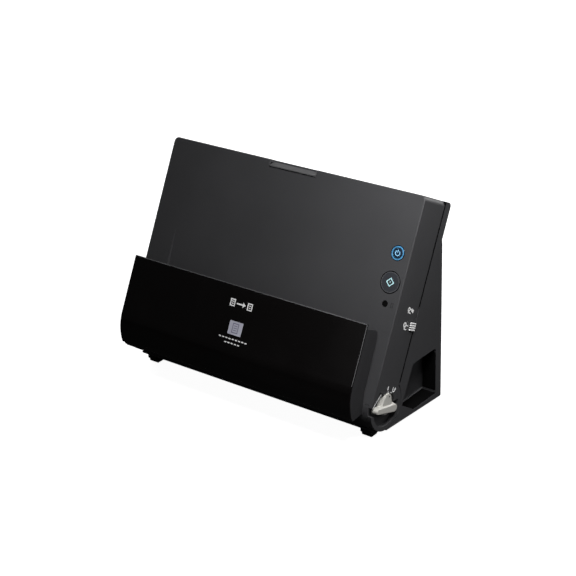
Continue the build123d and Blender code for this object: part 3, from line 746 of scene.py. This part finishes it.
class SCANNER_OT_linings(bpy.types.Operator):
    """Darken the side windows with black sheets on the rear wall and the floor, as painted shade, and lay a
    lighter grey bead along the floor, whose lighter colour is a painted highlight.
    """
    bl_idname = "scanner.linings"
    bl_label = "Window Linings"

    def execute(self, context):
        for side, tag in ((-1.0, "left"), (1.0, "right")):
            low, high = sorted((side * 135.1 * MM, side * 149.6 * MM))
            bm = bmesh.new()
            # painted shade: black sheets on the window's rear wall and floor, where the shade falls
            add_box(bm, (low, 53.2 * MM, 12.0 * MM), (high, 53.55 * MM, 53.0 * MM))
            add_box(bm, (low, 14.6 * MM, 8.6 * MM), (high, 53.3 * MM, 9.2 * MM))
            finish_piece(bm, tag + "_window_painted_shade", "base", "seal_black", smooth=False)
            # a real bead, made lighter grey than the body: its lighter colour is a painted highlight along the
            # window floor
            low, high = sorted((side * 135.05 * MM, side * 136.0 * MM))
            bm = bmesh.new()
            add_box(bm, (low, 16.5 * MM, 10.6 * MM), (high, 52.0 * MM, 11.5 * MM))
            round_edges(bm, list(bm.edges), 0.2 * MM, 2)
            finish_piece(bm, tag + "_window_bead_painted_highlight", "base", "trim_grey")
        return {"FINISHED"}


class SCANNER_OT_trim_lines(bpy.types.Operator):
    """Lay lighter grey strips on the gloss panel's top and right edges as painted highlights, and a thin white
    line along the edge of the selector's well
    """
    bl_idname = "scanner.trim_lines"
    bl_label = "Bright Edges"

    def execute(self, context):
        low, high = slab_box("eject_panel")
        front, rear = low.y - 0.02 * MM, low.y + 1.6 * MM
        bm = bmesh.new()
        # painted highlight: lighter grey strips along the panel's top edge and its right end
        add_box(bm, (low.x + 0.6 * MM, front, high.z - 0.75 * MM),
                (high.x - 0.6 * MM, rear, high.z - 0.02 * MM))
        add_box(bm, (high.x - 0.55 * MM, front, 14.0 * MM),
                (high.x - 0.02 * MM, rear, high.z - 0.6 * MM))
        finish_piece(bm, "panel_edge_painted_highlight", "front_unit", "trim_grey", smooth=False, place=SLAB)
        cheek = cheek_plane(slab_box("front_cover")[1].x)
        along = Vector((8.4, 13.4))
        bm = bmesh.new()
        ink_box(bm, -17.9, 4.0, along.length, 0.75, math.atan2(along.y, along.x))
        finish_ink(bm, "well_edge_line", "front_unit", "ink_white", cheek,
                   context.scene.scanner_sizes.ink_height)
        return {"FINISHED"}


class SCANNER_OT_feet(bpy.types.Operator):
    """Model the ribbed front feet"""
    bl_idname = "scanner.feet"
    bl_label = "Front Feet"

    def execute(self, context):
        bm = copy_of("front_feet")
        round_edges(bm, sharp_edges(bm), 0.4 * MM, 2)
        finish_piece(bm, "front_feet_blocks", "base", "foot_rubber", ("front_feet",))
        low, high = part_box("front_feet")
        rib_front, rib_rear = -41.2 * MM, -40.8 * MM
        bm = bmesh.new()
        for side in (-1.0, 1.0):
            left, right = sorted((side * high.x, side * (high.x - 11.0 * MM)))
            for k in range(4):
                z = 4.7 * MM + k * 0.95 * MM
                add_box(bm, (left, rib_front, z), (right, rib_rear, z + 0.5 * MM))
        finish_piece(bm, "front_feet_ribs", "base", "foot_rubber", smooth=False)
        return {"FINISHED"}


class SCANNER_OT_keys(bpy.types.Operator):
    """Model the power key's light ring and the start key's rim, with black rings as painted shade in the gaps
    round them
    """
    bl_idname = "scanner.keys"
    bl_label = "Keys and Ring"

    def execute(self, context):
        low, high = slab_box("power_ring")
        centre, face = (low + high) / 2, low.y
        self.band("power_ring_light", "front_unit", "ring_blue", centre, (5.2, 6.6), face, 0.5,
                  ("power_ring",))
        # painted shade: a black ring in the gap round the power key's light ring
        self.band("power_ring_gap_painted_shade", "front_unit", "seal_black", centre, (6.7, 7.3), face + 0.2 * MM, 0.5)
        low, high = slab_box("start_button")
        centre, face = (low + high) / 2, low.y
        self.band("start_key_rim", "start_key", "lever_grey", centre, (8.9, 9.6), face - 0.05 * MM, 0.3)
        face = slab_box("front_cover")[0].y
        # painted shade: a black ring on the cover round the start key, where its gap is dark
        self.band("start_key_gap_painted_shade", "front_unit", "seal_black", centre, (9.9, 10.8), face - 0.06 * MM, 0.4)
        return {"FINISHED"}

    def band(self, name, body, slot, centre, radii, y, depth, replaced=()):
        """A flat ring whose section is spun round the key's own axis."""
        bm = bmesh.new()
        spine = Vector((centre.x, y, centre.z))
        inner, outer = radii
        section = ((inner, depth), (inner, 0.15), (inner + 0.25, 0.0), (outer - 0.25, 0.0),
                   (outer, 0.15), (outer, depth))
        verts = [bm.verts.new(spine + Vector((r * MM, d * MM, 0.0))) for r, d in section]
        edges = [bm.edges.new(pair) for pair in zip(verts, verts[1:])]
        bmesh.ops.spin(bm, geom=[*verts, *edges], cent=spine, axis=(0.0, 1.0, 0.0),
                       angle=2 * math.pi, steps=72, use_merge=True)
        finish_piece(bm, name, body, slot, replaced, place=SLAB)


class SCANNER_OT_panel_marks(bpy.types.Operator):
    """Print the gloss panel: sheets and an arrow, a badge with a page, and two dashed rules"""
    bl_idname = "scanner.panel_marks"
    bl_label = "Panel Marks"

    def execute(self, context):
        ink = context.scene.scanner_sizes.ink_height
        low, high = slab_box("eject_panel")
        face = front_plane(low.y)
        bm = bmesh.new()
        row = 55.1
        for u in (-10.3, 10.3):
            ink_frame(bm, u, row, 6.0, 7.2, 1.1)
            ink_box(bm, u, row + 1.1, 2.4, 0.9)
            ink_box(bm, u, row - 0.9, 2.4, 0.9)
        ink_arrow(bm, (-5.4, row), (5.4, row), 1.4, 2.6)
        finish_ink(bm, "panel_pictogram", "front_unit", "ink_white", face, ink)
        bm = bmesh.new()
        pitch = 3.9
        for v, count in ((21.1, 9), (17.1, 5)):
            for k in range(count):
                ink_box(bm, (k - (count - 1) / 2) * pitch, v, 2.5, 1.1)
        finish_ink(bm, "panel_rules", "front_unit", "ink_white", face, ink)
        badge_height = 0.35 * MM
        bm = bmesh.new()
        add_box(bm, (-7.9 * MM, 25.3 * MM, 0.0), (7.9 * MM, 38.4 * MM, badge_height))
        upright = [e for e in bm.edges if abs((e.verts[0].co - e.verts[1].co).z) > 0.1 * MM]
        round_edges(bm, upright, 0.9 * MM, 4)
        finish_piece(bm, "panel_badge", "front_unit", "badge_silver", smooth=False, place=face)
        bm = bmesh.new()
        ink_frame(bm, 0.0, 31.9, 7.4, 9.6, 0.9)
        for v in (34.0, 31.9, 29.8):
            ink_box(bm, 0.0, v, 4.0, 0.8)
        badge_face = face @ Matrix.Translation((0.0, 0.0, badge_height))
        finish_ink(bm, "badge_page", "front_unit", "badge_slate", badge_face, ink)
        return {"FINISHED"}


class SCANNER_OT_key_marks(bpy.types.Operator):
    """Print the power, start and status symbols"""
    bl_idname = "scanner.key_marks"
    bl_label = "Key Marks"

    def execute(self, context):
        ink = context.scene.scanner_sizes.ink_height
        under_ink = ink * 0.4
        cover = front_plane(slab_box("front_cover")[0].y)
        key, u, v = self.face_of("power_button")
        bm = bmesh.new()
        ink_band(bm, u, v, 1.9, 2.75, math.radians(125.0), math.radians(290.0))
        ink_box(bm, u, v + 1.8, 0.85, 2.9)
        finish_ink(bm, "power_symbol", "power_key", "ink_blue", key, ink)
        bm = bmesh.new()
        ink_disc(bm, u, v, 4.4)
        finish_ink(bm, "power_symbol_disc", "power_key", "key_navy", key, under_ink)
        key, u, v = self.face_of("start_button")
        bm = bmesh.new()
        ink_frame(bm, u, v, 6.2, 6.2, 0.85, math.radians(45.0))
        ink_box(bm, u, v, 0.6, 1.7)
        finish_ink(bm, "start_symbol", "start_key", "ink_ice", key, ink)
        bm = bmesh.new()
        ink_box(bm, u, v, 4.3, 4.3, math.radians(45.0))
        finish_ink(bm, "start_symbol_middle", "start_key", "ink_dark", key, under_ink)
        lens, u, v = self.face_of("status_lens")
        u += 7.6
        bm = bmesh.new()
        ink_frame(bm, u, v, 2.8, 4.6, 0.5)
        ink_box(bm, u, v + 0.8, 1.2, 0.4)
        ink_box(bm, u, v - 0.6, 1.2, 0.4)
        finish_ink(bm, "status_symbol", "front_unit", "ink_dark", cover, ink)
        return {"FINISHED"}

    def face_of(self, node):
        """A key's front plane and the middle of that face, in millimetres."""
        low, high = slab_box(node)
        return front_plane(low.y), (low.x + high.x) / 2 / MM, (low.z + high.z) / 2 / MM


class SCANNER_OT_cheek_marks(bpy.types.Operator):
    """Print the selector's and the feed lever's pictograms on the right cheek"""
    bl_idname = "scanner.cheek_marks"
    bl_label = "Cheek Marks"

    def execute(self, context):
        ink = context.scene.scanner_sizes.ink_height
        plane = cheek_plane(slab_box("front_cover")[1].x)
        bm = bmesh.new()
        # straight path and turned path, each with its dot
        ink_arrow(bm, (-4.1, 18.7), (-4.6, 14.6), 1.1, 1.5)
        ink_disc(bm, -2.3, 13.1, 0.85)
        ink_disc(bm, 2.7, 13.1, 0.85)
        ink_box(bm, 4.6, 17.2, 1.0, 2.4)
        ink_band(bm, 6.5, 16.0, 1.4, 2.4, math.radians(180.0), math.radians(180.0))
        ink_shape(bm, [(6.9, 16.0), (10.0, 16.0), (8.5, 18.6)])
        finish_ink(bm, "selector_symbols", "front_unit", "ink_white", plane, ink)
        bm = bmesh.new()
        # one sheet, then a stack, each beside a feed roller
        ink_band(bm, -3.0, 92.0, 0.9, 2.2, 0.0, 2 * math.pi)
        ink_box(bm, 0.6, 92.2, 3.4, 1.1, math.radians(-12.0))
        ink_shape(bm, [(2.6, 93.4), (6.0, 91.6), (5.4, 88.9), (1.9, 90.4)])
        ink_box(bm, -1.2, 88.9, 4.6, 1.0, math.radians(-12.0))
        ink_band(bm, -3.4, 77.2, 1.2, 2.6, 0.0, 2 * math.pi)
        ink_box(bm, 0.9, 76.9, 3.0, 1.1, math.radians(-12.0))
        ink_box(bm, -1.8, 73.3, 4.6, 1.1, math.radians(-12.0))
        finish_ink(bm, "feed_symbols", "front_unit", "ink_white", plane, ink)
        return {"FINISHED"}


class SCANNER_OT_stage(bpy.types.Operator):
    """Make the pale floor, the soft studio light and the camera"""
    bl_idname = "scanner.stage"
    bl_label = "Stage"

    def execute(self, context):
        stage = context.scene.scanner_stage
        self.floor(stage)
        self.world(context.scene)
        self.lights()
        self.camera(context.scene, stage)
        context.scene.view_settings.view_transform = "Standard"
        return {"FINISHED"}

    def floor(self, stage):
        """A wide pale disc: bright where it is seen, dim as a source of light."""
        bm = bmesh.new()
        bmesh.ops.create_circle(bm, cap_ends=True, segments=96, radius=30.0)
        mesh = bpy.data.meshes.new("floor")
        bm.to_mesh(mesh)
        bm.free()
        floor = bpy.data.objects.new("floor", mesh)
        bpy.context.scene.collection.objects.link(floor)
        material, tree, bsdf = new_material("studio_floor")
        bsdf.inputs["Base Color"].default_value = (*stage.floor, 1.0)
        bsdf.inputs["Roughness"].default_value = 0.95
        bsdf.inputs["Specular IOR Level"].default_value = 0.0
        glow = tree.nodes.new("ShaderNodeEmission")
        glow.inputs["Strength"].default_value = 0.96
        dim = tree.nodes.new("ShaderNodeBsdfDiffuse")
        dim.inputs["Color"].default_value = (0.03, 0.03, 0.03, 1.0)
        seen = tree.nodes.new("ShaderNodeLightPath")
        bright = tree.nodes.new("ShaderNodeAddShader")
        mix = tree.nodes.new("ShaderNodeMixShader")
        tree.links.new(bsdf.outputs[0], bright.inputs[0])
        tree.links.new(glow.outputs[0], bright.inputs[1])
        tree.links.new(seen.outputs["Is Camera Ray"], mix.inputs[0])
        tree.links.new(dim.outputs[0], mix.inputs[1])
        tree.links.new(bright.outputs[0], mix.inputs[2])
        tree.links.new(mix.outputs[0], tree.nodes["Material Output"].inputs["Surface"])
        mesh.materials.append(material)

    def world(self, scene):
        """A white backdrop that adds only a little light."""
        world = bpy.data.worlds.new("studio")
        scene.world = world
        world.use_nodes = True
        tree = world.node_tree
        back = tree.nodes["Background"]
        back.inputs["Color"].default_value = (1.0, 1.0, 1.0, 1.0)
        seen = tree.nodes.new("ShaderNodeLightPath")
        strength = ramp(tree, seen.outputs["Is Camera Ray"], 0.0, 1.0, 0.02, 1.0)
        tree.links.new(strength, back.inputs["Strength"])

    def lights(self):
        """Soft square lamps round the object."""
        self.panel("key_light", (0.28, -0.15, 0.44), (0.06, 0.0, 0.14), 0.14, 1.95)
        self.panel("fill_light", (-0.50, -1.75, 0.95), (0.0, 0.0, 0.1), 0.7, 0.5)
        self.panel("side_light", (1.4, 0.5, 0.7), (0.1, 0.0, 0.1), 0.8, 2.6)
        self.panel("top_light", (-0.66, 0.37, 0.95), (0.0, 0.0, 0.1), 0.6, 2.0)
        self.panel("back_light", (0.5, 2.0, 0.6), (0.0, 0.07, 0.1), 1.2, 14.0)
        self.panel("left_light", (-1.8, 0.8, 0.6), (-0.1, 0.0, 0.1), 1.0, 8.0)

    def panel(self, name, place, target, size, watts):
        """A square lamp at a place, turned to a target."""
        light = bpy.data.lights.new(name, "AREA")
        light.shape = "SQUARE"
        light.size = size
        light.energy = watts
        lamp = bpy.data.objects.new(name, light)
        lamp.location = place
        lamp.rotation_euler = (Vector(target) - Vector(place)).to_track_quat("-Z", "Y").to_euler()
        bpy.context.scene.collection.objects.link(lamp)

    def camera(self, scene, stage):
        """The camera, set by its angles, its distance and its target."""
        a, e, roll = stage.azimuth, stage.elevation, stage.roll
        back = Vector((math.sin(a) * math.cos(e), -math.cos(a) * math.cos(e), math.sin(e)))
        right = Vector((math.cos(a), math.sin(a), 0.0))
        up = back.cross(right)
        turned_right = right * math.cos(roll) + up * math.sin(roll)
        turned_up = up * math.cos(roll) - right * math.sin(roll)
        place = Vector(stage.target) + back * stage.distance
        data = bpy.data.cameras.new("camera")
        data.lens = stage.lens
        data.sensor_width = 36.0
        camera = bpy.data.objects.new("camera", data)
        turn = Matrix((turned_right, turned_up, back)).transposed().to_4x4()
        camera.matrix_world = Matrix.Translation(place) @ turn
        scene.collection.objects.link(camera)
        scene.camera = camera


OPERATORS = (
    SCANNER_OT_stage,
    SCANNER_OT_carried_finish,
    SCANNER_OT_shells,
    SCANNER_OT_gloss_panel,
    SCANNER_OT_selector,
    SCANNER_OT_feed_lever,
    SCANNER_OT_seam,
    SCANNER_OT_linings,
    SCANNER_OT_trim_lines,
    SCANNER_OT_feet,
    SCANNER_OT_keys,
    SCANNER_OT_panel_marks,
    SCANNER_OT_key_marks,
    SCANNER_OT_cheek_marks,
)


class SCANNER_PT_panel(bpy.types.Panel):
    """Lists the scanner's operators in the sidebar"""
    bl_idname = "SCANNER_PT_panel"
    bl_label = "Scanner"
    bl_space_type = "VIEW_3D"
    bl_region_type = "UI"
    bl_category = "Scanner"

    def draw(self, context):
        for operator in OPERATORS:
            self.layout.operator(operator.bl_idname)


GROUP_CLASSES = (ScannerFinish, ScannerSizes, ScannerStage)
CLASSES = (*GROUP_CLASSES, *OPERATORS, SCANNER_PT_panel)


def register():
    for cls in CLASSES:
        bpy.utils.register_class(cls)
    bpy.types.Scene.scanner_finish = PointerProperty(type=ScannerFinish)
    bpy.types.Scene.scanner_sizes = PointerProperty(type=ScannerSizes)
    bpy.types.Scene.scanner_stage = PointerProperty(type=ScannerStage)


def unregister():
    del bpy.types.Scene.scanner_finish
    del bpy.types.Scene.scanner_sizes
    del bpy.types.Scene.scanner_stage
    for cls in reversed(CLASSES):
        bpy.utils.unregister_class(cls)


def main():
    register()
    for operator in OPERATORS:
        group, name = operator.bl_idname.split(".")
        getattr(getattr(bpy.ops, group), name)()


if __name__ == "__main__":
    main()
